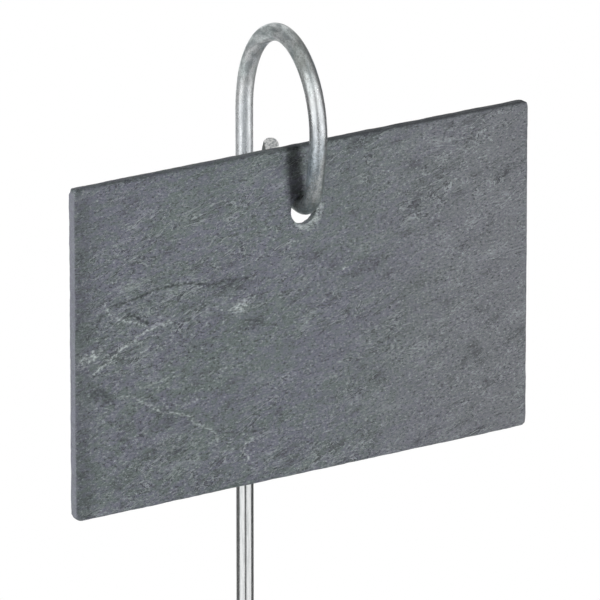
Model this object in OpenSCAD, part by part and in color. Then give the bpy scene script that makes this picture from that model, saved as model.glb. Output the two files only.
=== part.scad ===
// Plant label stake: a slate plate that hangs by one drilled hole
// on the hook of a bent galvanised wire stake.
// The stake's tip is at the origin, its stem runs up Z and the slate faces -Y.

/* [Wire] */
// Diameter of the galvanised wire
wire_d = 5; // [3:0.5:6]
// Length of the straight stem, from its tip to where the hook starts
stem_h = 420; // [250:5:600]
// Slope of the large cut face that the croppers leave on each wire end
crop_slope = 40; // [25:1:42]
// Slope of the small cut face beside it
crop_steep = 60; // [50:1:65]
// Direction that the large cut face looks in, from straight ahead towards the left
crop_facing = 28; // [0:1:60]
// Straight length past the hook's last bend
end_len = 2.5; // [2:0.5:10]

/* [Hook] */
// Radius of the bend over the stem, to the middle of the wire
back_r = 28.8; // [24:0.1:36]
// Angle that the bend over the stem turns through
back_turn = 72; // [60:1:84]
// Radius of the bend over the front
front_r = 23; // [18:0.1:26]
// Angle that the bend over the front turns through
front_turn = 115; // [110:1:120]
// Radius of the slack bend down the front leg
leg_r = 90; // [60:1:110]
// Angle that the front leg turns through
leg_turn = 9; // [5:1:12]
// Radius of the tight bend in front of the slate
toe_r = 8.5; // [7.5:0.25:14]
// Radius of the slack bend behind the slate
sole_r = 32; // [24:1:45]
// Angle that the slack bend behind the slate turns through
sole_turn = 35; // [25:1:45]
// Radius of the last bend, which turns the wire's end up
tip_r = 7; // [6:0.25:12]
// Angle that the last bend turns through
tip_turn = 45; // [20:1:55]
// Angle of the hook's plane from square to the slate
hook_turn = 9; // [0:1:12]

/* [Slate] */
// Width of the slate
slate_w = 150; // [90:1:220]
// Height of the slate
slate_h = 96; // [60:1:140]
// Thickness of the slate
slate_t = 3.5; // [2.5:0.25:5]
// Radius of the slate's corners
corner_r = 3.5; // [1.5:0.5:10]
// Diameter of the drilled hole
hole_d = 8.5; // [8:0.25:12]
// Distance from the slate's top edge to the middle of the hole
hole_drop = 18.9; // [12:0.1:30]
// Width of the chipped rim that the drill left round the back of the hole
chip_w = 1.5; // [0.5:0.1:3]
// Depth of the chipped rim
chip_depth = 0.8; // [0.2:0.1:1.5]

/* [Fits] */
// Gap between the wire and the top of the hole where the slate hangs
hang_gap = 0.3; // [0.2:0.05:0.5]

/* [Hidden] */
$fn = 64;

wire_r = wire_d / 2;
hole_r = hole_d / 2;

// How far a cutter runs past the face it cuts
cut_over = 1;
// How far the joint between two bends is rounded past the wire, so that they are one solid
seam = 0.002;
// The two cut faces of a cropped end meet this far beside the wire's middle
crop_ridge = 0.26 * wire_d;
// Angle from the large cut face round to the small one
crop_beside = 78;
// The large cut face rises this far from the wire's middle to its highest point
crop_rise = wire_r * tan(crop_slope);

// Headings start at straight up and grow as the wire turns forward, down and back.
// The tight bend stops where the wire is level, and there the slate hangs.
level_back = 270;
toe_turn = level_back - back_turn - front_turn - leg_turn;
bends = [
    [back_r, back_turn],
    [front_r, front_turn],
    [leg_r, leg_turn],
    [toe_r, toe_turn],
    [sole_r, sole_turn],
    [tip_r, tip_turn]
];
bends_to_slate = 4;

// Forward and upward travel of one bend, from its heading
function bend_forward(radius, from, turn) = radius * (cos(from) - cos(from + turn));
function bend_up(radius, from, turn) = radius * (sin(from + turn) - sin(from));

// The same for the first bends of the hook, added up
function path_forward(count, i = 0, from = 0) = i == count ? 0
    : bend_forward(bends[i][0], from, bends[i][1]) + path_forward(count, i + 1, from + bends[i][1]);
function path_up(count, i = 0, from = 0) = i == count ? 0
    : bend_up(bends[i][0], from, bends[i][1]) + path_up(count, i + 1, from + bends[i][1]);

hang_forward = path_forward(bends_to_slate);
hang_z = stem_h + path_up(bends_to_slate);

// The slate's own place: its middle in X and Y, and the middle of its hole in Z
slate_x = -hang_forward * sin(hook_turn);
slate_y = -hang_forward * cos(hook_turn);

// Inside the slate the tight bend rises and the turned hook moves sideways,
// and the hole's height allows for both
half_way = slate_t / 2 / cos(hook_turn);
toe_inner_r = toe_r - wire_r;
wire_rise = toe_inner_r - sqrt(pow(toe_inner_r, 2) - pow(half_way, 2));
wire_shift = half_way * sin(hook_turn);
play = hole_r - wire_r - hang_gap;
hole_z = hang_z + wire_rise - sqrt(pow(play, 2) - pow(wire_shift, 2));

// A bend that starts at the origin, heading up, and turns towards -Y
module bend(radius, turn) {
    translate([0, -radius, 0])
        rotate([90, 0, 90])
            rotate_extrude(angle = turn)
                translate([radius, 0])
                    circle(d = wire_d);
}

// Moves what follows to the far end of such a bend, along the wire's new heading
module beyond_bend(radius, turn) {
    translate([0, -radius, 0])
        rotate([turn, 0, 0])
            translate([0, radius, 0])
                children();
}

// Cuts away all that lies above a slope that falls in one direction
module crop_cutter(facing, slope) {
    rotate([0, 0, -90 - facing])
        rotate([0, slope, 0])
            translate([0, 0, wire_d])
                cube([1.5 * wire_d, 2 * wire_d, 2 * wire_d], center = true);
}

// What the croppers take off a wire that ends at this height
module crop_cutters(length) {
    translate([0, 0, length - crop_rise]) {
        crop_cutter(crop_facing, crop_slope);
        translate([-crop_ridge * cos(crop_facing), crop_ridge * sin(crop_facing), 0])
            crop_cutter(crop_facing + crop_beside, crop_steep);
    }
}

// The straight stem, upside down: it starts at the origin and ends in two cut faces
module cropped_stem(length) {
    difference() {
        cylinder(d = wire_d, h = length);
        crop_cutters(length);
    }
}

// The last bend and the straight length past it, which the cut faces run into
module cropped_end(radius, turn) {
    difference() {
        union() {
            bend(radius, turn);
            beyond_bend(radius, turn) {
                sphere(r = wire_r + seam);
                cylinder(d = wire_d, h = end_len);
            }
        }
        beyond_bend(radius, turn)
            crop_cutters(end_len);
    }
}

// The hook from one bend on: each bend carries the rest of the wire at its far end
module hook_from(i) {
    radius = bends[i][0];
    turn = bends[i][1];
    sphere(r = wire_r + seam);
    if (i < len(bends) - 1) {
        bend(radius, turn);
        beyond_bend(radius, turn)
            hook_from(i + 1);
    } else {
        cropped_end(radius, turn);
    }
}

// The stem and hook are one wire, bent in one plane
module wire_stake() {
    color("silver")
    rotate([0, 0, -hook_turn])
        translate([0, 0, stem_h]) {
            rotate([180, 0, 0])
                cropped_stem(stem_h);
            hook_from(0);
        }
}

// The slate's outline as a slab that stands on its bottom edge, with its middle on X
module slate_slab() {
    translate([-slate_w / 2 + corner_r, -slate_t / 2, 0])
        cube([slate_w - 2 * corner_r, slate_t, slate_h]);
    translate([-slate_w / 2, -slate_t / 2, corner_r])
        cube([slate_w, slate_t, slate_h - 2 * corner_r]);
    for (side = [-1, 1], z = [corner_r, slate_h - corner_r])
        translate([side * (slate_w / 2 - corner_r), slate_t / 2, z])
            rotate([90, 0, 0])
                cylinder(r = corner_r, h = slate_t);
}

// The hole's cutter, with the chipped rim at the back face
module hole_cutter() {
    translate([0, slate_t / 2 + cut_over, 0])
        rotate([90, 0, 0])
            cylinder(r = hole_r, h = slate_t + 2 * cut_over);
    translate([0, slate_t / 2, 0])
        rotate([90, 0, 0])
            cylinder(r1 = hole_r + chip_w, r2 = hole_r, h = chip_depth);
}

module slate_plate() {
    color("slategray")
    translate([slate_x, slate_y, hole_z])
        difference() {
            translate([0, 0, hole_drop - slate_h])
                slate_slab();
            hole_cutter();
        }
}

wire_stake();
slate_plate();
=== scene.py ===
"""Plant label stake: a riven slate plate that hangs on the hook of a galvanised wire stake.

Every length is in metres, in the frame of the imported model.
The stake's tip is at the origin, its stem runs up Z and the slate faces -Y.
"""

import logging
import math
from collections.abc import Callable, Iterable, Sequence
from dataclasses import dataclass, field
from enum import Enum

import bpy
from mathutils import Matrix, Vector, noise


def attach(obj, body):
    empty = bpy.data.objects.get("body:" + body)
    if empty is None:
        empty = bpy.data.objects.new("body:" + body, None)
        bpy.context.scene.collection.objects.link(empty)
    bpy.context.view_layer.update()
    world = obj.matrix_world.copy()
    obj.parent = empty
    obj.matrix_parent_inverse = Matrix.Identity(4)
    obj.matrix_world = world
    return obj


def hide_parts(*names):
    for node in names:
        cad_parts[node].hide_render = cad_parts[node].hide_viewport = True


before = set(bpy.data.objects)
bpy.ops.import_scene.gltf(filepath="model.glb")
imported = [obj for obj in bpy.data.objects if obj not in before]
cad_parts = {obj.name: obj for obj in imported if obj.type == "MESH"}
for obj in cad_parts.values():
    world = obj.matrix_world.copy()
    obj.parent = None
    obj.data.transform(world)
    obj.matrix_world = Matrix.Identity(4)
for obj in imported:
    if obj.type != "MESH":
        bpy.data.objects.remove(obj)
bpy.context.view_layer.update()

logging.basicConfig(level=logging.INFO, format="%(message)s")
log = logging.getLogger("label_stake")

Socket = bpy.types.NodeSocket
Piece = bpy.types.Object
Triple = tuple[float, float, float]
Span = tuple[float, float]

MM = 0.001
UP = Vector((0.0, 0.0, 1.0))


class Body(Enum):
    """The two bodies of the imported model."""

    STAKE = "stake"
    SLATE = "slate"


class Push(Enum):
    """The ways in which vertices are pushed."""

    BACK = "Y"
    ALONG_NORMAL = "NORMAL"


# Modelling helpers


def set_mode(mode: str) -> None:
    """Goes to object or edit mode."""
    bpy.ops.object.mode_set(mode=mode)


def deselect_all() -> None:
    """Leaves no object selected."""
    if bpy.context.object and bpy.context.object.mode != "OBJECT":
        set_mode("OBJECT")
    bpy.ops.object.select_all(action="DESELECT")


def make_active(piece: Piece) -> None:
    """Selects one object alone and makes it active.

    Args:
        piece: The object to work on.
    """
    deselect_all()
    piece.select_set(True)
    bpy.context.view_layer.objects.active = piece


def select_points(piece: Piece, wanted: Callable[[Vector], bool]) -> None:
    """Selects the vertices that pass a test, with the edges and faces between them.

    Args:
        piece: The mesh object, in edit mode.
        wanted: Tells from a vertex's place whether it is selected.
    """
    set_mode("OBJECT")
    mesh = piece.data
    for vertex in mesh.vertices:
        vertex.select = wanted(vertex.co)
    for part in (*mesh.edges, *mesh.polygons):
        part.select = all(mesh.vertices[i].select for i in part.vertices)
    set_mode("EDIT")


def apply_modifier(piece: Piece, kind: str, **settings: object) -> None:
    """Adds a modifier, sets it up and applies it.

    Args:
        piece: The mesh object.
        kind: The modifier's type.
        settings: The modifier's own settings.
    """
    make_active(piece)
    modifier = piece.modifiers.new(kind.title(), kind)
    for name, value in settings.items():
        setattr(modifier, name, value)
    bpy.ops.object.modifier_apply(modifier=modifier.name)


def push_points(piece: Piece, weights: Sequence[float], travel: float, way: Push) -> None:
    """Moves the vertices by their weights with a Displace modifier, and applies it.

    Args:
        piece: The mesh object.
        weights: A weight from 0 to 1 for each vertex.
        travel: How far a vertex of weight 1 moves.
        way: The way in which it moves.
    """
    group = piece.vertex_groups.new(name="weights")
    for index, weight in enumerate(weights):
        group.add([index], max(0.0, min(1.0, weight)), "REPLACE")
    settings = {"direction": way.value, "strength": travel, "mid_level": 0.0}
    apply_modifier(piece, "DISPLACE", vertex_group=group.name, **settings)
    piece.vertex_groups.clear()


def store_numbers(piece: Piece, name: str, numbers: Iterable[float], domain: str = "POINT") -> None:
    """Stores one number for each vertex or face, for the material to read."""
    attribute = piece.data.attributes.new(name, "FLOAT", domain)
    attribute.data.foreach_set("value", list(numbers))


def smooth_step(low: float, high: float, value: float) -> float:
    """The height at value of a smooth rise from 0 at low to 1 at high."""
    share = max(0.0, min(1.0, (value - low) / (high - low)))
    return share * share * (3.0 - 2.0 * share)


def bearing(azimuth: float, elevation: float) -> Vector:
    """Finds the direction from the object to a place round it.

    Args:
        azimuth: Degrees right of straight in front of the slate.
        elevation: Degrees above level.

    Returns:
        The direction, of length 1.
    """
    turn, rise = math.radians(azimuth), math.radians(elevation)
    return Vector(
        (math.sin(turn) * math.cos(rise), -math.cos(turn) * math.cos(rise), math.sin(rise))
    )


def finish_piece(
    piece: Piece, body: Body, node: str, material: bpy.types.Material
) -> None:
    """Gives a piece its material, ties it to the body that it moves with, and hides the CAD part that
    it stands for.

    Args:
        piece: The finished mesh object.
        body: The body that it rides on.
        node: The CAD node that it replaces.
        material: The finish.
    """
    piece.data.materials.clear()
    piece.data.materials.append(material)
    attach(piece, body.value)
    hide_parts(node)
    log.info("%s: %d faces, rides on %s", piece.name, len(piece.data.polygons), body.value)


# Materials


class NodeBench:
    """A node tree, with short ways to add the nodes that the finishes and the studio need."""

    def __init__(
        self, holder: bpy.types.Material | bpy.types.World, output: str = "OutputMaterial"
    ) -> None:
        """Empties the tree.

        Args:
            holder: The material or world.
            output: The kind of its output node.
        """
        holder.use_nodes = True
        self.holder = holder
        self.tree = holder.node_tree
        self.tree.nodes.clear()
        self.output = self.add(output)

    def add(
        self, kind: str, inputs: dict[str | int, object] | None = None, **settings: object
    ) -> bpy.types.Node:
        """Adds a node.

        Args:
            kind: The node's type, without its ShaderNode prefix.
            inputs: What its inputs get, by name or place.
            settings: The node's own settings.

        Returns:
            The new node.
        """
        node = self.tree.nodes.new("ShaderNode" + kind)
        for name, value in settings.items():
            setattr(node, name, value)
        for key, value in (inputs or {}).items():
            self.feed(node.inputs[key], value)
        return node

    def feed(self, socket: Socket, value: object) -> None:
        """Links or sets an input.

        Args:
            socket: The input.
            value: An output to link, or a plain value.
        """
        if isinstance(value, Socket):
            self.tree.links.new(value, socket)
        elif socket.type == "RGBA":
            socket.default_value = (*value, 1.0)
        else:
            socket.default_value = value

    def object_point(self) -> Socket:
        """The point in the object's own coordinates."""
        return self.add("TexCoord").outputs["Object"]

    def attribute(self, name: str, output: str = "Fac") -> Socket:
        """A stored attribute."""
        return self.add("Attribute", attribute_name=name).outputs[output]

    def axes(self, point: Socket) -> bpy.types.NodeOutputs:
        """The X, Y and Z of a point."""
        return self.add("SeparateXYZ", {"Vector": point}).outputs

    def mapped(self, point: Socket, turn: float, stretch: Triple) -> Socket:
        """Turns and stretches a pattern's coordinates.

        Args:
            point: The coordinates.
            turn: The turn about Y, in degrees.
            stretch: Scales along the three axes, after the turn.

        Returns:
            The new coordinates.
        """
        turns = (0.0, math.radians(turn), 0.0)
        turned = self.add("Mapping", {"Vector": point, "Rotation": turns})
        scaled = self.add("Mapping", {"Vector": turned.outputs["Vector"], "Scale": stretch})
        return scaled.outputs["Vector"]

    def noise(
        self, point: Socket, scale: float, detail: float, roughness: float, distortion: float = 0.0
    ) -> Socket:
        """A noise pattern, about 0.5 on average. The scale counts waves per metre."""
        inputs = {"Vector": point, "Scale": scale, "Detail": detail, "Roughness": roughness}
        return self.add("TexNoise", {**inputs, "Distortion": distortion}).outputs["Fac"]

    def ranged(self, value: Socket, low: float, high: float, start: float, end: float) -> Socket:
        """Maps the range from low to high onto that from start to end, smoothly, within it."""
        inputs = {"Value": value, "From Min": low, "From Max": high, "To Min": start, "To Max": end}
        return self.add("MapRange", inputs, interpolation_type="SMOOTHSTEP").outputs["Result"]

    def rise(self, value: Socket, low: float, high: float, top: float = 1.0) -> Socket:
        """A smooth rise from 0 at low to the top at high."""
        return self.ranged(value, low, high, 0.0, top)

    def maths(self, kind: str, first: object, second: object = 0.0) -> Socket:
        """One step of arithmetic, by the Math node's operation."""
        return self.add("Math", {0: first, 1: second}, operation=kind).outputs["Value"]

    def times(self, first: object, second: object) -> Socket:
        """The product of two numbers."""
        return self.maths("MULTIPLY", first, second)

    def plus(self, first: object, second: object) -> Socket:
        """The sum of two numbers."""
        return self.maths("ADD", first, second)

    def less(self, first: object, second: object) -> Socket:
        """The first number without the second."""
        return self.maths("SUBTRACT", first, second)

    def higher(self, first: object, second: object) -> Socket:
        """The higher of two numbers."""
        return self.maths("MAXIMUM", first, second)

    def mix(self, share: object, first: object, second: object, blend: str = "MIX") -> Socket:
        """Mixes two colours, by the share of the second."""
        inputs = {"Factor": share, 6: first, 7: second}
        return self.add("Mix", inputs, data_type="RGBA", blend_type=blend).outputs[2]

    def layered(
        self, colour: Socket, layers: Sequence[tuple[Socket, Triple]], blend: str = "MIX"
    ) -> Socket:
        """Lays colours over a ground, one after another.

        Args:
            colour: The ground.
            layers: Each layer's share and colour.
            blend: The way of mixing.

        Returns:
            The colour on top.
        """
        for share, tone in layers:
            colour = self.mix(share, colour, tone, blend)
        return colour

    def relief(self, layers: Sequence[tuple[Socket, float, float]]) -> Socket:
        """Lays bump layers over each other.

        Args:
            layers: Each layer's height from 0 to 1, its depth at 1 and its strength.

        Returns:
            The normal.
        """
        inputs: dict[str | int, object] = {}
        for height, depth, strength in layers:
            inputs.update({"Strength": strength, "Distance": depth, "Height": height})
            inputs["Normal"] = self.add("Bump", inputs).outputs["Normal"]
        return inputs["Normal"]

    def seen(self, path: bpy.types.Node) -> Socket:
        """1 for a ray from the camera, off gloss or through something clear, else 0."""
        first = self.higher(path.outputs["Is Camera Ray"], path.outputs["Is Glossy Ray"])
        return self.higher(first, path.outputs["Is Transmission Ray"])

    def show(self, shader: Socket) -> bpy.types.Material | bpy.types.World:
        """Links a shader to the tree's output, and gives back what holds the tree."""
        self.feed(self.output.inputs["Surface"], shader)
        return self.holder

    def shaded(self, **inputs: object) -> bpy.types.Material:
        """Ends the tree in a Principled shader. Its inputs' names have _ for each space."""
        spaced = {name.replace("_", " "): value for name, value in inputs.items()}
        return self.show(self.add("BsdfPrincipled", spaced).outputs["BSDF"])


@dataclass(frozen=True)
class GalvanisedZinc:
    """Zinc on steel wire: bright and smooth on the stem, dull and mottled where it was bent.

    The spans along the wire count from its tip, and the others from its middle.
    """

    bright: Triple = (0.71, 0.72, 0.72)
    dull: Triple = (0.97, 0.985, 0.99)
    shade: Triple = (0.24, 0.27, 0.285)
    bluish: Triple = (0.84, 0.92, 1.0)
    greenish: Triple = (0.92, 0.98, 0.97)
    # stain_and_shade: the colour of real stains and pits, and also of painted shade.
    stain_and_shade: Triple = (0.20, 0.21, 0.20)
    rust: Triple = (0.30, 0.25, 0.19)
    # Painted shade for the side of the toe that lies in the hole.
    painted_hole_shade: Triple = (0.03, 0.033, 0.033)
    cut: Triple = (0.84, 0.84, 0.83)
    bent_span: Span = (0.355, 0.405)
    top_start: Span = (0.418, 0.440)
    top_end: Span = (0.500, 0.470)
    toe_span: Span = (0.492, 0.513)
    frost_end: Span = (0.470, 0.430)
    inside_span: Span = (0.4 * MM, -2.3 * MM)
    deep_span: Span = (-0.8 * MM, -2.0 * MM)

    def build(self) -> bpy.types.Material:
        """Builds the material."""
        return ZincTree(self).build()


class ZincTree:
    """The zinc's node tree. Its patterns lie in the straight wire's own coordinates."""

    def __init__(self, zinc: GalvanisedZinc) -> None:
        """Finds where the wire is bright, bent, aged or hidden, and lays the patterns.

        Args:
            zinc: The finish.
        """
        bench = NodeBench(bpy.data.materials.new("galvanised_zinc"))
        self.zinc, self.bench = zinc, bench
        self.straight = bench.attribute("straight_wire", "Vector")
        where = bench.axes(self.straight)
        along = where["Z"]
        topped = bench.times(bench.rise(along, *zinc.top_start), bench.rise(along, *zinc.top_end))
        self.worked = bench.rise(along, *zinc.bent_span)
        self.toe = bench.rise(along, *zinc.toe_span)
        self.aged = bench.higher(topped, self.toe)
        self.inside = bench.rise(where["Y"], *zinc.inside_span)
        # deep marks the side of the toe in the hole, which gets painted shade.
        self.deep = bench.times(bench.rise(where["X"], *zinc.deep_span), self.toe)
        self.frosted = bench.times(bench.rise(along, *zinc.frost_end), self.worked)
        self.share = bench.times(self.worked, bench.ranged(self.aged, 0.0, 1.0, 0.22, 1.0))
        long_way = bench.mapped(self.straight, 0.0, (1.0, 1.0, 0.35))
        drawn_way = bench.mapped(self.straight, 0.0, (1.0, 1.0, 0.06))
        self.blotches = bench.noise(long_way, 620.0, 4.0, 0.65, 0.3)
        self.clouds = bench.noise(long_way, 150.0, 3.0, 0.6)
        self.tints = bench.noise(long_way, 95.0, 2.0, 0.5)
        self.grain = bench.noise(self.straight, 2800.0, 3.0, 0.75)
        self.drawn = bench.noise(drawn_way, 1900.0, 3.0, 0.65)
        self.cut_tone = bench.attribute("cut_face")
        self.is_cut = bench.rise(self.cut_tone, 0.0, 0.5)
        self.worn = bench.higher(self.worked, self.is_cut)

    def coat(self) -> Socket:
        """Colours the coat, from its ground to its tints.

        Returns:
            The colour.
        """
        zinc, bench, share, toe = self.zinc, self.bench, self.share, self.toe
        blotched = bench.times(share, bench.ranged(self.blotches, 0.40, 0.64, 0.30, 0.85))
        patchy = bench.times(share, bench.ranged(self.clouds, 0.38, 0.60, 0.15, 1.0))
        toe_shade = bench.times(toe, bench.ranged(self.blotches, 0.42, 0.58, 0.60, 1.0))
        spots = bench.rise(bench.noise(self.straight, 1100.0, 3.0, 0.7), 0.50, 0.60, 0.85)
        glints = bench.rise(bench.noise(self.straight, 900.0, 3.0, 0.7), 0.47, 0.38, 0.35)
        pits = bench.rise(self.grain, 0.51, 0.62, 0.95)
        streaks = bench.rise(self.drawn, 0.42, 0.62, 0.26)
        layers = (
            (blotched, zinc.shade),
            (bench.times(patchy, bench.rise(self.clouds, 0.52, 0.72, 0.40)), zinc.rust),
            # Painted shade: the inside of the bends at the top of the hook and at the toe is darkened.
            (bench.times(self.aged, bench.rise(self.inside, 0.0, 1.0, 0.92)), zinc.stain_and_shade),
            (toe_shade, zinc.shade),
            # Painted shade: the side of the toe in the hole is painted near black.
            (bench.times(self.deep, 0.9), zinc.painted_hole_shade),
            (bench.times(spots, toe), zinc.stain_and_shade),
            (bench.times(glints, toe), zinc.bright),
            (bench.times(pits, bench.rise(share, 0.0, 1.0, 0.8)), zinc.stain_and_shade),
            (bench.times(streaks, bench.ranged(self.aged, 0.0, 1.0, 1.0, 0.3)), zinc.shade),
        )
        tinted = (
            (bench.times(share, bench.rise(self.tints, 0.50, 0.60, 0.9)), zinc.bluish),
            (bench.times(share, bench.rise(self.tints, 0.48, 0.40, 0.9)), zinc.greenish),
        )
        colour = bench.layered(bench.mix(self.worked, zinc.bright, zinc.dull), layers)
        return bench.layered(colour, tinted, "MULTIPLY")

    def bare_metal(self) -> Socket:
        """Colours the cut faces: the large one bright, the small one dark as a painted reflection, both
        specked.

        Returns:
            The colour.
        """
        zinc, bench = self.zinc, self.bench
        # Painted reflection: the small cut face is coloured dark.
        colour = bench.mix(bench.rise(self.cut_tone, 0.5, 1.0), zinc.stain_and_shade, zinc.cut)
        specks = bench.rise(bench.noise(self.straight, 1500.0, 3.0, 0.7), 0.46, 0.60, 0.75)
        return bench.mix(specks, colour, zinc.shade)

    def gloss(self) -> tuple[Socket, Socket]:
        """Works out the gloss: high on the stem, and lower where the wire is bent or painted dark in
        the hole.

        Returns:
            How metallic the wire is, and how rough.
        """
        bench, worn, deep = self.bench, self.worn, self.deep
        old = bench.times(worn, bench.higher(self.aged, self.is_cut))
        metallic = bench.ranged(old, 0.0, 1.0, 0.92, 0.70)
        for loss in (bench.times(self.frosted, 0.19), bench.times(deep, 0.70)):
            metallic = bench.less(metallic, loss)
        roughness = bench.ranged(worn, 0.0, 1.0, 0.15, 0.26)
        for gain in (
            bench.rise(self.share, 0.22, 1.0, 0.14),
            bench.times(worn, bench.ranged(self.blotches, 0.38, 0.62, -0.05, 0.10)),
            bench.times(deep, 0.30),
        ):
            roughness = bench.plus(roughness, gain)
        return metallic, roughness

    def build(self) -> bpy.types.Material:
        """Puts the colours, the gloss and the relief together.

        Returns:
            The material.
        """
        bench = self.bench
        bumps = (
            (self.clouds, 0.10 * MM, 0.5),
            (bench.times(self.blotches, self.worked), 0.11 * MM, 0.8),
            (self.drawn, 0.006 * MM, 0.6),
            (bench.times(self.grain, self.worn), 0.045 * MM, 0.9),
        )
        metallic, roughness = self.gloss()
        return bench.shaded(
            Base_Color=bench.mix(self.is_cut, self.coat(), self.bare_metal()),
            Metallic=metallic,
            Roughness=roughness,
            Specular_IOR_Level=bench.ranged(self.deep, 0.0, 1.0, 0.5, 0.0),
            Normal=bench.relief(bumps),
        )


@dataclass(frozen=True)
class RivenSlate:
    """Natural split slate: grey with green and lavender clouds, fine grain and pale flake edges."""

    green_grey: Triple = (0.124, 0.149, 0.146)
    lavender_grey: Triple = (0.144, 0.148, 0.186)
    warm_grey: Triple = (0.168, 0.172, 0.188)
    pale: Triple = (0.38, 0.42, 0.42)
    flake: Triple = (0.50, 0.55, 0.545)
    # dark: the slate's dark grain, and also its painted shade.
    dark: Triple = (0.034, 0.038, 0.042)
    sawn: Triple = (0.205, 0.208, 0.245)
    warm_span: Span = (-20.0 * MM, 68.0 * MM)
    grain_turn: float = 17.0
    level_turn: float = 4.0

    def build(self) -> bpy.types.Material:
        """Builds the material in the slate's own coordinates.

        Returns:
            The material.
        """
        bench = NodeBench(bpy.data.materials.new("riven_slate"))
        point = bench.object_point()
        split = bench.mapped(point, self.grain_turn, (0.42, 1.0, 1.0))
        level = bench.mapped(point, self.level_turn, (0.50, 1.0, 1.0))
        clouds = bench.noise(split, 55.0, 4.0, 0.65, 0.3)
        patches = bench.noise(split, 240.0, 5.0, 0.65, 0.2)
        speckle = bench.noise(level, 1900.0, 3.0, 0.75)
        grit = bench.noise(point, 4200.0, 2.0, 0.7)
        tint = bench.noise(level, 620.0, 2.0, 0.6)
        heap = bench.times(bench.noise(split, 75.0, 6.0, 0.62, 0.5), 9.0)
        part = bench.maths("FRACT", heap)
        stairs = bench.plus(bench.maths("FLOOR", heap), bench.rise(part, 0.86, 1.0))
        chosen = bench.rise(bench.noise(split, 60.0, 2.0, 0.5), 0.46, 0.60)
        drawn_out = bench.mapped(point, self.grain_turn, (0.26, 1.0, 1.0))
        wrinkles = bench.noise(drawn_out, 280.0, 5.0, 0.6, 0.8)
        creased = bench.rise(bench.noise(split, 70.0, 2.0, 0.5, 0.4), 0.44, 0.58)
        crest = bench.maths("ABSOLUTE", bench.less(wrinkles, 0.508))
        crease = bench.maths("ABSOLUTE", bench.less(wrinkles, 0.486))
        hue = bench.ranged(clouds, 0.36, 0.64, 0.15, 0.85)
        hue = bench.plus(hue, bench.ranged(tint, 0.38, 0.62, -0.40, 0.40))
        broken = bench.ranged(speckle, 0.38, 0.60, 0.12, 1.0)
        layers = (
            (bench.rise(bench.axes(point)["X"], *self.warm_span, 0.8), self.warm_grey),
            (bench.rise(patches, 0.54, 0.76, 0.28), self.pale),
            (bench.rise(patches, 0.49, 0.26, 0.60), self.dark),
            (bench.rise(speckle, 0.54, 0.72, 0.80), self.pale),
            (bench.rise(speckle, 0.47, 0.33, 0.90), self.dark),
            (bench.rise(grit, 0.60, 0.74, 0.75), self.pale),
            (bench.times(bench.rise(part, 0.90, 0.99, 0.45), chosen), self.pale),
            (bench.times(bench.rise(crest, 0.014, 0.0, 0.55), creased), self.pale),
            # Painted shade: dark lines in the creases of fine wrinkles.
            (bench.times(bench.rise(crease, 0.016, 0.0, 0.80), creased), self.dark),
            (bench.times(bench.attribute("pale_mark"), broken), self.flake),
            # Painted shade: the stored dark marks along flake steps, the front's left edge and the top
            # edge.
            (bench.attribute("painted_shade_mark"), self.dark),
            (bench.times(bench.attribute("sawn_edge"), 0.60), self.sawn),
        )
        ground = bench.mix(hue, self.green_grey, self.lavender_grey)
        bumps = (
            (stairs, 0.12 * MM, 0.9),
            (patches, 0.62 * MM, 0.9),
            (speckle, 0.42 * MM, 0.9),
            (grit, 0.14 * MM, 0.9),
        )
        return bench.shaded(
            Base_Color=bench.layered(ground, layers),
            Roughness=bench.ranged(patches, 0.3, 0.7, 0.50, 0.68),
            Specular_IOR_Level=0.20,
            Normal=bench.relief(bumps),
        )


# The wire


@dataclass(frozen=True)
class Bend:
    """One bend of the wire, as it was turned round a former."""

    radius: float
    turn: float


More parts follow.
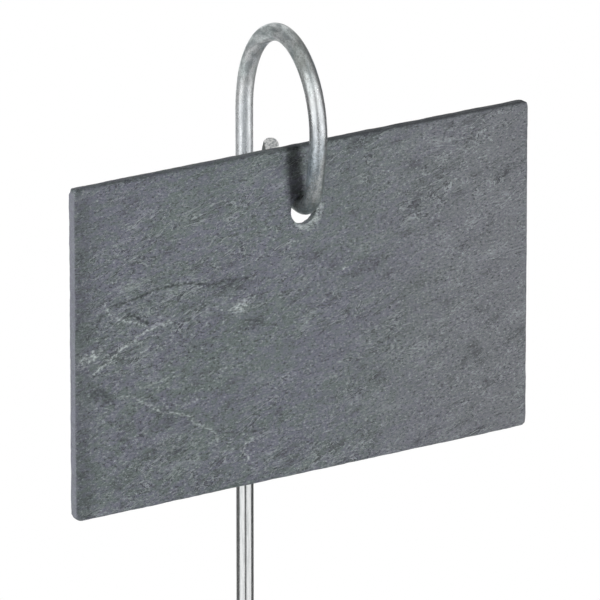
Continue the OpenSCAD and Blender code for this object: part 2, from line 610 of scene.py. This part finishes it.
@dataclass
class WireStake:
    """The stem, the hook and the cropped end: one length of 5 mm wire, bent in one plane."""

    wire_radius: float = 2.5 * MM
    stem_height: float = 420.0 * MM
    end_length: float = 2.5 * MM
    hook_turn: float = 9.0
    sides: int = 40
    ring_step: float = 1.4 * MM
    bends: tuple[Bend, ...] = (
        Bend(28.8 * MM, 72.0),
        Bend(23.0 * MM, 115.0),
        Bend(90.0 * MM, 9.0),
        Bend(8.5 * MM, 74.0),
        Bend(32.0 * MM, 35.0),
        Bend(7.0 * MM, 45.0),
    )
    crop_ridge: float = 1.3 * MM
    crop_slope: float = 40.0
    crop_steep: float = 60.0
    crop_facing: float = 28.0
    crop_beside: float = 50.0
    crop_reach: float = 9.0 * MM
    large_cut: float = 13.0 * MM * MM
    wall_corners: int = 6
    smooth_angle: float = 32.0
    finish: GalvanisedZinc = field(default_factory=GalvanisedZinc)

    @property
    def forward(self) -> Vector:
        """The level direction in which the hook reaches."""
        turn = math.radians(self.hook_turn)
        return Vector((-math.sin(turn), -math.cos(turn), 0.0))

    def heading(self, turned: float) -> Vector:
        """The wire's direction after it has turned through an angle from straight up."""
        angle = math.radians(turned)
        return UP * math.cos(angle) + self.forward * math.sin(angle)

    def outward(self, turned: float) -> Vector:
        """The direction from the wire towards the inside of a bend at that heading."""
        angle = math.radians(turned)
        return self.forward * math.cos(angle) - UP * math.sin(angle)

    def add_first_ring(self) -> Piece:
        """Adds the ring that the wire grows from.

        Returns:
            The object, in edit mode with its ring selected.
        """
        deselect_all()
        bpy.ops.mesh.primitive_circle_add(vertices=self.sides, radius=self.wire_radius)
        piece = bpy.context.object
        piece.name = "galvanised_wire"
        set_mode("EDIT")
        bpy.ops.mesh.select_all(action="SELECT")
        return piece

    def draw_straight(self, direction: Vector, length: float) -> int:
        """Extrudes the selected ring along a straight line, a short step at a time.

        Args:
            direction: The wire's heading.
            length: How far it runs.

        Returns:
            The number of rings added.
        """
        steps = max(1, round(length / self.ring_step))
        for _ in range(steps):
            step = {"value": direction * (length / steps)}
            bpy.ops.mesh.extrude_region_move(TRANSFORM_OT_translate=step)
        return steps

    def spin_bend(self, place: Vector, turned: float, bend: Bend) -> int:
        """Spins the selected ring round a bend.

        Args:
            place: The wire's middle where the bend starts.
            turned: The heading there, in degrees from straight up.
            bend: The bend.

        Returns:
            The number of rings added.
        """
        steps = max(4, round(math.radians(bend.turn) * bend.radius / self.ring_step), 4)
        bpy.ops.mesh.spin(
            steps=steps,
            angle=-math.radians(bend.turn),
            center=place + self.outward(turned) * bend.radius,
            axis=UP.cross(self.forward),
        )
        return steps

    def lay_straight_coordinates(self, piece: Piece, stations: Sequence[float]) -> None:
        """Stores, for each vertex, where it was on the wire before that was bent.

        Args:
            piece: The wire's mesh, whose rings follow one another.
            stations: How far along the wire each ring is.
        """
        places: list[float] = []
        for station in stations:
            for corner in range(self.sides):
                angle = math.tau * corner / self.sides
                places.append(self.wire_radius * math.cos(angle))
                places.extend((self.wire_radius * math.sin(angle), station))
        attribute = piece.data.attributes.new("straight_wire", "FLOAT_VECTOR", "POINT")
        attribute.data.foreach_set("vector", places)

    def cut_brightness(self, face: bpy.types.MeshPolygon) -> float:
        """How bright a cut face is coloured: 1 for a large cut face, a half for a small one, whose dark
        is a painted reflection, else 0.
        """
        cut_tone = 1.0 if face.area > self.large_cut else 0.5
        return cut_tone if len(face.vertices) > self.wall_corners else 0.0

    def crop_end(self, piece: Piece, end: Vector, heading: Vector, ahead: Vector) -> None:
        """Cuts one end with two planes, as croppers do, and closes each cut.

        Args:
            piece: The wire, in edit mode.
            end: The middle of the wire at its end.
            heading: The wire's direction out of that end.
            ahead: The direction that the cut faces' angles are counted from.
        """
        left = heading.cross(ahead) * -1.0

        def looking(facing: float) -> Vector:
            """The direction across the wire at an angle from ahead to the left."""
            angle = math.radians(facing)
            return ahead * math.cos(angle) + left * math.sin(angle)

        rise = self.wire_radius * math.tan(math.radians(self.crop_slope))
        middle = end - heading * rise
        beside = middle + looking(self.crop_facing + 90.0) * self.crop_ridge
        for facing, slope, point in (
            (self.crop_facing, self.crop_slope, middle),
            (self.crop_facing + self.crop_beside, self.crop_steep, beside),
        ):
            tilt = math.radians(slope)
            square = heading * math.cos(tilt) + looking(facing) * math.sin(tilt)
            select_points(piece, lambda p: (p - end).length < self.crop_reach)
            bpy.ops.mesh.bisect(plane_co=point, plane_no=square, use_fill=True, clear_outer=True)

    def build(self) -> None:
        """Models the wire from its tip to its cropped end."""
        piece = self.add_first_ring()
        stations = [0.0]

        def count_rings(steps: int, length: float) -> None:
            """Notes where the new rings are along the wire."""
            start = stations[-1]
            stations.extend(start + length * (i + 1) / steps for i in range(steps))

        count_rings(self.draw_straight(UP, self.stem_height), self.stem_height)
        place, turned = UP * self.stem_height, 0.0
        for bend in self.bends:
            steps = self.spin_bend(place, turned, bend)
            count_rings(steps, math.radians(bend.turn) * bend.radius)
            centre = place + self.outward(turned) * bend.radius
            turned += bend.turn
            place = centre - self.outward(turned) * bend.radius
        heading = self.heading(turned)
        count_rings(self.draw_straight(heading, self.end_length), self.end_length)
        place = place + heading * self.end_length
        set_mode("OBJECT")
        log.info("wire: %d rings, %d points", len(stations), len(piece.data.vertices))
        self.lay_straight_coordinates(piece, stations)
        set_mode("EDIT")
        self.crop_end(piece, place, heading, self.outward(turned))
        self.crop_end(piece, Vector((0.0, 0.0, 0.0)), -UP, -self.forward)
        bpy.ops.mesh.select_all(action="SELECT")
        bpy.ops.mesh.normals_make_consistent(inside=False)
        set_mode("OBJECT")
        store_numbers(piece, "cut_face", map(self.cut_brightness, piece.data.polygons), "FACE")
        make_active(piece)
        bpy.ops.object.shade_smooth_by_angle(angle=math.radians(self.smooth_angle))
        finish_piece(piece, Body.STAKE, "wire_stake", self.finish.build())


# The slate


@dataclass(frozen=True)
class FlakeEdge:
    """The edge of a split layer, drawn across the slate from the middle of its hole.

    The ground on the left of the line, walking along it, is lower by drop and
    comes up again over reach. The line itself is pale or dark by the marks; a dark mark is painted
    shade in the step.
    """

    points: tuple[tuple[float, float], ...]
    drop: float = 0.0
    reach: float = 8.0
    pale: float = 0.0
    dark: float = 0.0
    width: float = 0.5

    def near(self, across: float, up: float, margin: float) -> bool:
        """Tells whether a place is within a margin of the box round the line."""
        spans = zip(zip(*self.points), (across, up))
        return all(min(line) - margin < at < max(line) + margin for line, at in spans)

    def nearest(self, across: float, up: float) -> tuple[float, float]:
        """Finds the nearest point of the line.

        Args:
            across: The place's distance right of the hole, in millimetres.
            up: Its distance above the hole.

        Returns:
            The distance, with its sign above 0 on the left, and the share of the
            way along the line.
        """
        best = (math.inf, 0.0)
        count = len(self.points) - 1
        for i, ((x0, y0), (x1, y1)) in enumerate(zip(self.points, self.points[1:])):
            run_x, run_y = x1 - x0, y1 - y0
            squared = run_x * run_x + run_y * run_y
            share = ((across - x0) * run_x + (up - y0) * run_y) / squared
            share = max(0.0, min(1.0, share))
            off_x, off_y = across - x0 - share * run_x, up - y0 - share * run_y
            gap = math.hypot(off_x, off_y)
            if gap < abs(best[0]):
                left = run_x * off_y - run_y * off_x > 0.0
                best = (gap if left else -gap, (i + share) / count)
        return best


FLAKES = (
    FlakeEdge(
        ((-65.3, -17.0), (-53.6, -15.6), (-48.0, -14.2), (-37.8, -14.3), (-31.1, -16.2), (-26.6, -15.6),
         (-18.7, -16.5), (-13.0, -15.6)),
        drop=-0.2, reach=7.0, dark=0.85, width=0.6,
    ),
    FlakeEdge(
        ((-65.5, -15.4), (-63.7, -18.8), (-60.9, -20.8), (-55.3, -22.8), (-51.5, -24.5)),
        drop=0.22, reach=6.0, pale=0.7, width=0.6,
    ),
    FlakeEdge(((-58.1, -19.8), (-54.5, -21.6), (-50.9, -24.1)), dark=0.9, width=0.7),
    FlakeEdge(
        ((-65.9, -17.9), (-67.1, -20.6), (-69.3, -22.7), (-72.1, -24.2)),
        drop=0.25, reach=5.0, dark=0.7, width=1.0,
    ),
    FlakeEdge(
        ((-43.6, -24.4), (-51.5, -25.5), (-56.5, -28.0), (-61.0, -30.2), (-64.4, -32.5),
         (-70.0, -35.5)),
        drop=0.25, reach=9.0, pale=1.0, width=0.75,
    ),
    FlakeEdge(((-62.1, -29.0), (-67.6, -31.7), (-73.3, -32.9)), drop=0.1, pale=0.6, width=0.4),
    FlakeEdge(((-73.3, -31.6), (-71.0, -30.4), (-68.3, -29.7)), pale=1.0, width=2.3),
    FlakeEdge(((-68.9, -29.6), (-65.0, -28.2)), pale=0.6, width=0.8),
    FlakeEdge(
        ((-50.4, -30.2), (-52.1, -31.4), (-56.0, -32.1), (-59.4, -32.5)),
        drop=0.08, pale=0.7, width=0.35,
    ),
    FlakeEdge(((-23.0, -24.8), (-20.9, -24.4), (-18.4, -22.4)), pale=1.0, width=1.9),
    FlakeEdge(((-27.8, -24.1), (-23.2, -25.0)), pale=0.7, width=0.35),
    FlakeEdge(((-30.7, -25.5), (-23.8, -26.8)), dark=0.25, width=1.8),
    FlakeEdge(((-70.6, -39.8), (-67.1, -41.6), (-63.4, -44.3)), dark=0.7, width=2.6, drop=0.1),
    FlakeEdge(
        ((-61.3, -43.3), (-56.7, -43.7), (-53.9, -46.0), (-49.5, -48.1), (-47.8, -50.1), (-41.6, -51.6),
         (-37.1, -53.4), (-36.6, -55.3), (-32.6, -57.3), (-30.0, -59.0), (-28.9, -61.3),
         (-29.3, -65.2)),
        drop=-0.3, reach=14.0, pale=0.62, width=0.55,
    ),
    FlakeEdge(
        ((-42.7, -49.1), (-40.4, -49.6), (-36.5, -49.2), (-34.8, -48.0)),
        drop=0.12, pale=0.5, width=0.4,
    ),
    FlakeEdge(((-27.5, -60.0), (-21.1, -60.8), (-14.4, -62.0)), dark=0.5, drop=-0.2, width=0.5),
    FlakeEdge(
        ((-16.2, -63.2), (-19.6, -64.6), (-20.5, -66.9), (-18.5, -68.8), (-19.6, -70.6)),
        drop=0.12, pale=0.75, width=0.45,
    ),
    FlakeEdge(((50.9, 19.5), (50.2, 17.9), (46.9, 14.7), (46.0, 12.5)), dark=0.6, drop=0.2, width=0.7),
    FlakeEdge(((12.6, -19.5), (13.8, -19.0)), pale=0.8, width=0.6),
    FlakeEdge(((60.0, -3.4), (60.5, -3.3)), pale=0.9, width=0.5),
    FlakeEdge(((60.2, -20.0), (64.4, -20.0)), dark=0.4, width=0.4),
    FlakeEdge(((-46.7, -0.5), (-36.1, -2.0)), pale=0.4, width=0.3),
    FlakeEdge(((-31.8, -4.8), (-29.2, -2.3)), pale=0.4, width=0.35),
    FlakeEdge(((-16.2, 19.6), (-18.2, 15.3), (-19.2, 11.5)), dark=0.45, drop=0.1, width=0.35),
    FlakeEdge(((-18.8, -16.7), (-14.2, -15.8)), pale=0.5, width=0.5),
    FlakeEdge(((5.8, -27.5), (6.9, -27.2)), pale=0.8, width=0.5),
)


@dataclass
class SlatePlate:
    """The slate: a split plate with cut edges, round corners and one drilled hole."""

    middle_x: float = -6.0775 * MM
    middle_y: float = -38.3716 * MM
    hole_z: float = 401.5612 * MM
    width: float = 150.0 * MM
    height: float = 96.0 * MM
    thickness: float = 3.5 * MM
    corner_radius: float = 1.9 * MM
    hole_radius: float = 4.25 * MM
    hole_drop: float = 18.9 * MM
    chip_width: float = 1.5 * MM
    chip_depth: float = 0.8 * MM
    grid: float = 0.75 * MM
    deepest: float = 0.75 * MM
    grain_turn: float = 17.0
    finish: RivenSlate = field(default_factory=RivenSlate)
    flakes: tuple[FlakeEdge, ...] = FLAKES
    smooth_angle: float = 38.0

    @property
    def front_y(self) -> float:
        """Where the front face lies."""
        return self.middle_y - self.thickness / 2

    @property
    def back_y(self) -> float:
        """Where the back face lies."""
        return self.middle_y + self.thickness / 2

    @property
    def middle_z(self) -> float:
        """Height of the plate's middle."""
        return self.hole_z + self.hole_drop - self.height / 2

    def saw_blank(self) -> Piece:
        """Models the plate with its round corners.

        Returns:
            The blank, in object mode.
        """
        deselect_all()
        place = (self.middle_x, self.middle_y, self.middle_z)
        size = (self.width, self.thickness, self.height)
        bpy.ops.mesh.primitive_cube_add(size=1.0, location=place, scale=size)
        piece = bpy.context.object
        piece.name = "riven_slate_plate"
        bpy.ops.object.transform_apply(location=True, rotation=True, scale=True)
        set_mode("EDIT")
        bpy.ops.mesh.select_mode(type="EDGE")
        bpy.ops.mesh.select_all(action="DESELECT")
        set_mode("OBJECT")
        mesh = piece.data
        for edge in mesh.edges:
            run = mesh.vertices[edge.vertices[0]].co - mesh.vertices[edge.vertices[1]].co
            edge.select = abs(run.y) > self.thickness / 2
        set_mode("EDIT")
        bpy.ops.mesh.bevel(offset=self.corner_radius, segments=10, affect="EDGES")
        bpy.ops.mesh.select_mode(type="VERT")
        set_mode("OBJECT")
        return piece

    def drill(self, piece: Piece) -> None:
        """Cuts the hole, with the chipped rim at the back.

        Args:
            piece: The blank.
        """
        cylinder = {"radius": self.hole_radius, "depth": self.thickness * 3}
        cone = {
            "radius1": self.hole_radius + self.chip_width * 2,
            "radius2": self.hole_radius,
            "depth": self.chip_depth * 2,
        }
        for add_cutter, sizes, y in (
            (bpy.ops.mesh.primitive_cylinder_add, cylinder, self.middle_y),
            (bpy.ops.mesh.primitive_cone_add, cone, self.back_y),
        ):
            deselect_all()
            place = (self.middle_x, y, self.hole_z)
            add_cutter(vertices=64, location=place, rotation=(math.radians(90.0), 0, 0), **sizes)
            cutter = bpy.context.object
            apply_modifier(piece, "BOOLEAN", operation="DIFFERENCE", object=cutter, solver="EXACT")
            bpy.data.objects.remove(cutter)

    def refine(self, piece: Piece) -> None:
        """Splits the front's faces finer along the flake edges.

        Args:
            piece: The drilled blank, with an even mesh.
        """
        make_active(piece)
        set_mode("EDIT")
        bpy.ops.mesh.select_mode(type="FACE")
        bpy.ops.mesh.select_all(action="DESELECT")
        set_mode("OBJECT")
        for face in piece.data.polygons:
            if face.normal.y > -0.7:
                continue
            across = (face.center.x - self.middle_x) / MM
            up = (face.center.z - self.hole_z) / MM
            face.select = any(
                flake.near(across, up, 1.0) and abs(flake.nearest(across, up)[0]) < 0.9
                for flake in self.flakes
            )
        set_mode("EDIT")
        bpy.ops.mesh.subdivide(number_cuts=2)
        bpy.ops.mesh.select_mode(type="VERT")
        set_mode("OBJECT")
        log.info("slate: %d points after the finer mesh", len(piece.data.vertices))

    def flaked_depth(self, across: float, up: float) -> float:
        """How deep the split face lies below the plate's flat face.

        Args:
            across: Distance right of the hole's middle, in millimetres.
            up: Distance above it.

        Returns:
            The depth in millimetres.
        """
        turn = math.radians(self.grain_turn)
        along = across * math.cos(turn) + up * math.sin(turn)
        over = up * math.cos(turn) - across * math.sin(turn)
        swell = noise.noise(Vector((along / 46.0, over / 24.0, 3.1)))
        layer = noise.fractal(Vector((along / 22.0, over / 7.5, 9.4)), 0.9, 2.1, 4)
        level = (layer * 0.5 + 0.5) * 5.0
        whole = math.floor(level)
        stepped = whole + smooth_step(0.72, 1.0, level - whole)
        ridge = noise.fractal(Vector((along / 4.2, over / 1.5, 5.7)), 0.8, 2.2, 3)
        grit = noise.noise(Vector((along / 1.5, over / 0.8, 1.7)))
        return 0.16 + 0.07 * swell + 0.045 * (stepped - 2.5) + 0.028 * ridge + 0.012 * grit

    def add_flakes(self, across: float, up: float, depth: float) -> Triple:
        """Adds the flake edges at one place of the front face.

        Args:
            across: Distance right of the hole's middle, in millimetres.
            up: Distance above it.
            depth: How deep the split face lies there.

        Returns:
            The new depth, how pale the place is, and how dark it is with painted shade.
        """
        pale, dark = 0.0, 0.0
        ragged = 0.30 * noise.noise(Vector((across, up, 7.0)))
        spotty = noise.noise(Vector((across / 0.9, up / 0.6, 4.0)))
        spots = 0.35 + 0.65 * smooth_step(-0.25, 0.25, spotty)
        for flake in self.flakes:
            if not flake.near(across, up, flake.reach * 3.0):
                continue
            signed, share = flake.nearest(across, up)
            low = smooth_step(-0.20, 0.20, signed + ragged)
            side = low if flake.drop > 0.0 else 1.0 - low
            depth += abs(flake.drop) * side * math.exp(-abs(signed) / flake.reach)
            width = flake.width * (1.0 + 1.1 * spotty)
            mark = spots * smooth_step(width * 0.9, width * 0.2, abs(signed + ragged))
            ends = smooth_step(0.0, 0.06, share) * smooth_step(1.0, 0.94, share)
            mark *= 0.4 + 0.6 * ends
            pale = max(pale, flake.pale * mark)
            # Painted shade: the dark marks along the flake steps.
            dark = max(dark, flake.dark * mark)
        return depth, pale, dark

    def carve(self, piece: Piece) -> None:
        """Splits the layers off the faces, breaks the cut edges and stores the marks, among them the
        painted shade.

        Args:
            piece: The drilled blank, with an even mesh.
        """
        rows: list[tuple[float, ...]] = []
        for vertex in piece.data.vertices:
            co = vertex.co
            across, up = (co.x - self.middle_x) / MM, (co.z - self.hole_z) / MM
            behind_front = co.y - self.front_y
            on_front = smooth_step(0.9 * MM, 0.1 * MM, behind_front)
            on_back = smooth_step(0.9 * MM, 0.1 * MM, self.back_y - co.y)
            depth, pale, dark = self.flaked_depth(across, up), 0.0, 0.0
            if on_front > 0.0:
                depth, pale, dark = self.add_flakes(across, up, depth)
            chipped = noise.noise(Vector((across / 1.6, up / 1.6, 2.2)))
            from_hole = math.hypot(across, up) - self.hole_radius / MM
            rim = smooth_step(2.6 + 2.0 * chipped, 0.0, from_hole)
            lower_right = smooth_step(-3.0, 2.0, across - up * 0.6)
            depth += 0.25 * rim * (0.4 + 0.6 * lower_right)
            pale = max(pale, 0.85 * rim * lower_right * on_front)
            x, z = co.x - self.middle_x, co.z - self.middle_z
            from_side = self.width / 2 - abs(x)
            from_end = self.height / 2 - abs(z)
            # Painted shade: the front is darkened towards its left edge.
            shaded = 0.30 * smooth_step(8.0, 2.0, (self.width / 2 + x) / MM)
            # Painted shade: the top face and a strip along the top edge are darkened, more so towards
            # the right.
            lined = smooth_step(1.1, 0.3, (self.height / 2 - z) / MM)
            lined *= 0.5 + 0.3 * smooth_step(-10.0, 5.0, across)
            sawn = smooth_step(0.4 * MM, 0.1 * MM, from_side)
            nick_at = (co.x / (5.0 * MM), co.y / (1.4 * MM), co.z / (5.0 * MM))
            nick = noise.fractal(Vector(nick_at), 0.9, 2.0, 3)
            near_edge = smooth_step(0.9 * MM, 0.0, min(from_side, from_end))
            behind = self.flaked_depth(across + 83.0, up * 1.1 + 41.0)
            row = (
                depth * MM / self.deepest * on_front,
                behind * MM / self.deepest * on_back,
                near_edge * (0.30 + 0.5 * nick),
                pale,
                max(dark, on_front * shaded, lined),
                sawn * smooth_step(0.15 * MM, 0.6 * MM, behind_front),
            )
            rows.append(row)
        front, back, broken, pales, painted_shades, sides = zip(*rows)
        push_points(piece, front, self.deepest, Push.BACK)
        push_points(piece, back, -self.deepest, Push.BACK)
        push_points(piece, broken, -0.25 * MM, Push.ALONG_NORMAL)
        store_numbers(piece, "pale_mark", pales)
        store_numbers(piece, "painted_shade_mark", painted_shades)
        store_numbers(piece, "sawn_edge", sides)

    def build(self) -> None:
        """Models the slate."""
        piece = self.saw_blank()
        self.drill(piece)
        apply_modifier(piece, "REMESH", mode="VOXEL", voxel_size=self.grid, adaptivity=0.0)
        log.info("slate: %d points after the even mesh", len(piece.data.vertices))
        self.refine(piece)
        self.carve(piece)
        make_active(piece)
        bpy.ops.object.shade_smooth_by_angle(angle=math.radians(self.smooth_angle))
        finish_piece(piece, Body.SLATE, "slate_plate", self.finish.build())


# The studio


@dataclass
class PhotoCamera:
    """The camera at the photograph's viewing angle."""

    azimuth: float = -33.33
    elevation: float = 18.4
    distance: float = 3.0
    lens: float = 639.1
    sensor_width: float = 36.0
    clip: Span = (0.05, 20.0)
    target: Triple = (0.0186, 0.0, 0.35975)

    def build(self) -> None:
        """Makes the camera and hands it to the scene."""
        data = bpy.data.cameras.new("photo_camera")
        data.lens = self.lens
        data.sensor_width = self.sensor_width
        data.clip_start, data.clip_end = self.clip
        camera = bpy.data.objects.new("photo_camera", data)
        bpy.context.scene.collection.objects.link(camera)
        back = bearing(self.azimuth, self.elevation)
        camera.location = Vector(self.target) + back * self.distance
        camera.rotation_mode = "QUATERNION"
        camera.rotation_quaternion = (-back).to_track_quat("-Z", "Y")
        bpy.context.scene.camera = camera


@dataclass(frozen=True)
class Panel:
    """A flat studio panel or lamp that stands round the object and faces it."""

    name: str
    azimuth: float
    elevation: float
    distance: float
    width: float
    height: float
    level: float

    def place(self, target: Vector) -> Matrix:
        """Stands the panel on its side of a point, facing it.

        Args:
            target: The point.

        Returns:
            The panel's matrix.
        """
        back = bearing(self.azimuth, self.elevation)
        turned = (-back).to_track_quat("-Z", "Y").to_matrix().to_4x4()
        return Matrix.Translation(target + back * self.distance) @ turned


@dataclass
class Studio:
    """Floor, world, lamps and the panels that the wire reflects."""

    target: Triple = (0.0, -0.02, 0.38)
    card_target: Triple = (0.0, 0.0, 0.56)
    behind_slate: Triple = (0.024, -0.032, 0.398)
    white: Triple = (1.0, 1.0, 1.0)
    floor_grey: Triple = (0.78, 0.78, 0.78)
    floor_size: float = 8.0
    white_span: Span = (0.20, 0.62)
    bright_span: Span = (0.18, 0.80)
    floor_z: float = -0.0004
    world_level: float = 0.024
    lamps: tuple[Panel, ...] = (
        Panel("key_lamp", 11.0, 30.0, 1.6, 0.34, 0.60, 24.8),
        Panel("left_lamp", -102.0, 12.0, 1.5, 0.6, 1.2, 27.0),
        Panel("back_lamp", 160.0, 8.0, 1.6, 0.9, 0.9, 18.0),
    )
    cards: tuple[Panel, ...] = (
        Panel("right_card", 20.0, 0.0, 0.56, 0.73, 1.30, 1.12),
        Panel("left_card", -71.5, 0.0, 0.56, 0.74, 1.30, 1.16),
        Panel("right_flag", 85.0, 0.0, 0.60, 0.78, 1.30, 0.06),
        Panel("left_flag", -146.0, 0.0, 0.60, 1.01, 1.30, 0.06),
        Panel("front_flag", -27.0, 0.0, 0.53, 0.23, 1.30, 0.14),
        Panel("top_flag", -33.3, 89.0, 0.8, 2.6, 2.6, 0.30),
    )
    small_card: Panel = Panel("card_behind_slate", 0.0, 0.0, 0.0, 0.042, 0.05, 1.0)

    def build_floor(self) -> None:
        """Makes the pale floor, which shows white to the camera away from the object."""
        deselect_all()
        bpy.ops.mesh.primitive_plane_add(size=self.floor_size, location=(0.0, 0.0, self.floor_z))
        floor = bpy.context.object
        floor.name = "pale_floor"
        bench = NodeBench(bpy.data.materials.new("pale_floor"))
        length = bench.add("VectorMath", {0: bench.object_point()}, operation="LENGTH")
        from_object = length.outputs["Value"]
        path = bench.add("LightPath")
        gloss = path.outputs["Is Glossy Ray"]
        away = bench.ranged(from_object, *self.white_span, 0.55, 1.0)
        near = bench.less(1.0, bench.ranged(from_object, *self.bright_span, 0.08, 1.0))
        glow = bench.add("Emission", {"Strength": bench.less(1.0, bench.times(gloss, near))})
        matt = bench.add("BsdfDiffuse", {"Color": self.floor_grey})
        shown = bench.higher(bench.times(away, bench.seen(path)), gloss)
        inputs = {"Fac": shown, 1: matt.outputs["BSDF"], 2: glow.outputs["Emission"]}
        mixed = bench.add("MixShader", inputs)
        floor.data.materials.append(bench.show(mixed.outputs["Shader"]))

    def build_world(self) -> None:
        """Makes the world: white to the camera and to reflections, dim to the object."""
        bench = NodeBench(bpy.data.worlds.new("studio_world"), "OutputWorld")
        seen = bench.seen(bench.add("LightPath"))
        level = bench.ranged(seen, 0.0, 1.0, self.world_level, 1.0)
        background = bench.add("Background", {"Color": self.white, "Strength": level})
        bpy.context.scene.world = bench.show(background.outputs["Background"])

    def build_lamp(self, panel: Panel) -> None:
        """Makes one soft lamp.

        Args:
            panel: Its place, size and power.
        """
        data = bpy.data.lights.new(panel.name, "AREA")
        data.shape = "RECTANGLE"
        data.size, data.size_y = panel.width, panel.height
        data.energy = panel.level
        lamp = bpy.data.objects.new(panel.name, data)
        bpy.context.scene.collection.objects.link(lamp)
        lamp.matrix_world = panel.place(Vector(self.target))
        lamp.visible_glossy = False
        lamp.visible_camera = False

    def build_card(self, panel: Panel, target: Triple) -> None:
        """Makes one card, which only the wire's gloss sees.

        Args:
            panel: Its place, size and brightness.
            target: The point that it faces.
        """
        deselect_all()
        bpy.ops.mesh.primitive_plane_add(size=1.0)
        card = bpy.context.object
        card.name = panel.name
        size = Matrix.Diagonal((panel.width, panel.height, 1.0, 1.0))
        card.matrix_world = panel.place(Vector(target)) @ size
        bench = NodeBench(bpy.data.materials.new(panel.name))
        glow = bench.add("Emission", {"Strength": panel.level})
        card.data.materials.append(bench.show(glow.outputs["Emission"]))
        for ray in ("camera", "diffuse", "shadow", "transmission"):
            setattr(card, "visible_" + ray, False)

    def build(self) -> None:
        """Sets up the studio."""
        bpy.context.scene.view_settings.view_transform = "Standard"
        self.build_floor()
        self.build_world()
        for panel in self.lamps:
            self.build_lamp(panel)
        for panel in self.cards:
            self.build_card(panel, self.card_target)
        self.build_card(self.small_card, self.behind_slate)
        log.info("studio: %d lamps, %d cards", len(self.lamps), len(self.cards))


def main() -> None:
    """Builds the camera, the stake, the slate and the studio in order."""
    PhotoCamera().build()
    WireStake().build()
    SlatePlate().build()
    Studio().build()
    deselect_all()


if __name__ == "__main__":
    main()
